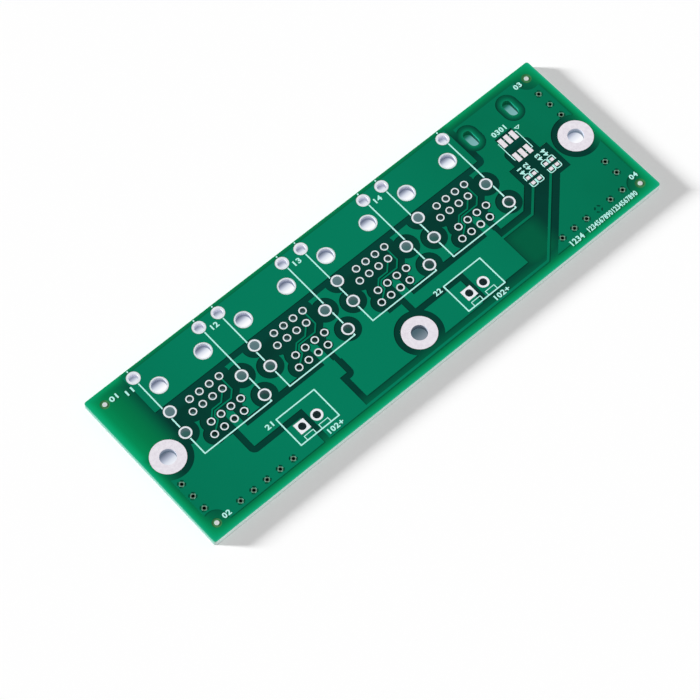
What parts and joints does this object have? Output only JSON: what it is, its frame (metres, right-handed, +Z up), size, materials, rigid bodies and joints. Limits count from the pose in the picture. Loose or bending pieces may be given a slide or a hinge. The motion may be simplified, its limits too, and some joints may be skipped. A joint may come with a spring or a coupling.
{
  "type": "bare printed circuit board",
  "caption": "Bare green printed circuit board for a row of network jacks, with plated holes, power header lands and mounting holes.",
  "frame": {"origin": "centre of the board's outline, on the outer face of the underside's solder mask", "axes": "+X along the board's length towards the end with the two slots, +Y across its width towards the jacks' front edge, +Z up out of the component side"},
  "size_m": [0.12, 0.04, 0.0016],
  "materials": {
    "laminate": "matt cut glass and epoxy laminate",
    "copper": "bare copper under the mask",
    "mask_top": "glossy solder mask",
    "mask_bottom": "glossy solder mask",
    "tin": "hot-levelled solder, slightly grainy",
    "legend_ink": "matt printed ink"
  },
  "bodies": {
    "root": {"substrate_core": "laminate", "bottom_copper_plane": "copper", "bottom_solder_mask": "mask_bottom", "top_solder_mask": "mask_top", "shield_pour": "copper", "ground_pour_left": "copper", "ground_pour_middle": "copper", "ground_pour_right": "copper", "supply_pour_1": "copper", "supply_pour_2": "copper", "return_pour_2": "copper", "web_pour_1": "copper", "web_pour_3": "copper", "signal_tracks": "copper", "jack_1_signal_barrels": "tin", "jack_2_signal_barrels": "tin", "jack_3_signal_barrels": "tin", "jack_4_signal_barrels": "tin", "jack_1_leg_barrels": "tin", "jack_2_leg_barrels": "tin", "jack_3_leg_barrels": "tin", "jack_4_leg_barrels": "tin", "jack_1_shield_barrels": "tin", "jack_2_shield_barrels": "tin", "jack_3_shield_barrels": "tin", "jack_4_shield_barrels": "tin", "jack_1_peg_barrels": "tin", "jack_2_peg_barrels": "tin", "jack_3_peg_barrels": "tin", "jack_4_peg_barrels": "tin", "header_1_square_barrel": "tin", "header_1_round_barrel": "tin", "header_2_square_barrel": "tin", "header_2_round_barrel": "tin", "mount_barrel_left": "tin", "mount_barrel_middle": "tin", "mount_barrel_right": "tin", "indicator_pads": "tin", "resistor_pads": "tin", "fiducial_dots": "tin", "via_barrels_left": "tin", "via_barrels_right": "tin", "jack_1_legend": "legend_ink", "jack_2_legend": "legend_ink", "jack_3_legend": "legend_ink", "jack_4_legend": "legend_ink", "header_1_legend": "legend_ink", "header_2_legend": "legend_ink", "indicator_legend": "legend_ink", "resistor_legend": "legend_ink"}
  },
  "joints": []
}
